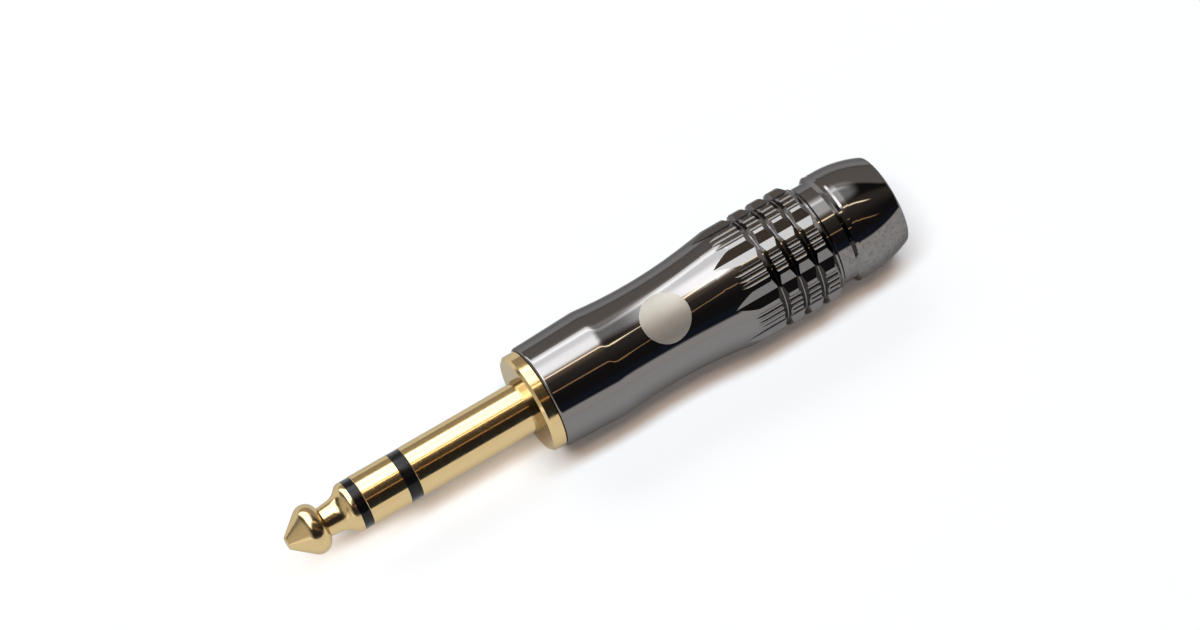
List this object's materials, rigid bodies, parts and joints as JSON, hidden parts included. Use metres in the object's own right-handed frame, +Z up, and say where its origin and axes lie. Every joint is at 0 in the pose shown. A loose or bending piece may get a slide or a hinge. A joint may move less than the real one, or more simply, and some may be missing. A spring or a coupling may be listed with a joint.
{
  "type": "stereo jack plug",
  "caption": "Straight cable plug with tip, ring and sleeve contacts, a flange, a screw-on waisted barrel with a ringed grip, and a collet-type tail nut.",
  "frame": {"origin": "on the plug's axis, in the seating plane where the collar stops against the jack", "axes": "+X along the axis from the tip to the tail, +Z up as the plug lies on its side; a grip notch faces straight down"},
  "size_m": [0.0814, 0.0146, 0.0146],
  "materials": {
    "gold_contact": "polished gold plate",
    "black_chrome": "polished black chrome",
    "black_insulator": "glossy moulded",
    "white_insulator": "matte moulded",
    "clear_liner": "translucent tube",
    "collet_plastic": "satin moulded",
    "tinned_brass": "tinned",
    "steel": "plain"
  },
  "bodies": {
    "contacts": {"tip_contact": "gold_contact", "centre_rod": "steel", "tip_insulating_ring": "black_insulator", "inner_insulating_tube": "white_insulator", "ring_contact": "gold_contact", "sleeve_insulating_ring": "black_insulator", "outer_insulating_tube": "white_insulator", "sleeve_contact": "gold_contact", "rear_insulating_bush": "black_insulator", "ring_tag": "tinned_brass", "tag_insulating_washer": "white_insulator", "tip_tag": "tinned_brass", "rod_washer": "steel", "rod_nut": "steel", "sleeve_tag": "tinned_brass"},
    "liner": {"insulating_liner": "clear_liner"},
    "barrel": {"barrel": "black_chrome"},
    "collet": {"collet": "collet_plastic"},
    "tail_nut": {"tail_nut": "black_chrome"}
  },
  "joints": [
    {"name": "barrel_advance", "type": "slide", "parent": "contacts", "child": "liner", "axis": [1, 0, 0], "range_m": [0, 0.006]},
    {"name": "barrel_turn", "type": "hinge", "parent": "liner", "child": "barrel", "pos_m": [0.02, 0, 0], "axis": [1, 0, 0], "range_deg": [0, 2880]},
    {"name": "collet_advance", "type": "slide", "parent": "barrel", "child": "collet", "axis": [1, 0, 0], "range_m": [0, 0.006]},
    {"name": "tail_nut_turn", "type": "hinge", "parent": "collet", "child": "tail_nut", "pos_m": [0.045, 0, 0], "axis": [1, 0, 0], "range_deg": [0, 2880]}
  ],
  "couplings": [
    {"joint": "barrel_advance", "follows": "barrel_turn", "m_per_rad": 0.00011937},
    {"joint": "collet_advance", "follows": "tail_nut_turn", "m_per_rad": 0.00011937}
  ]
}
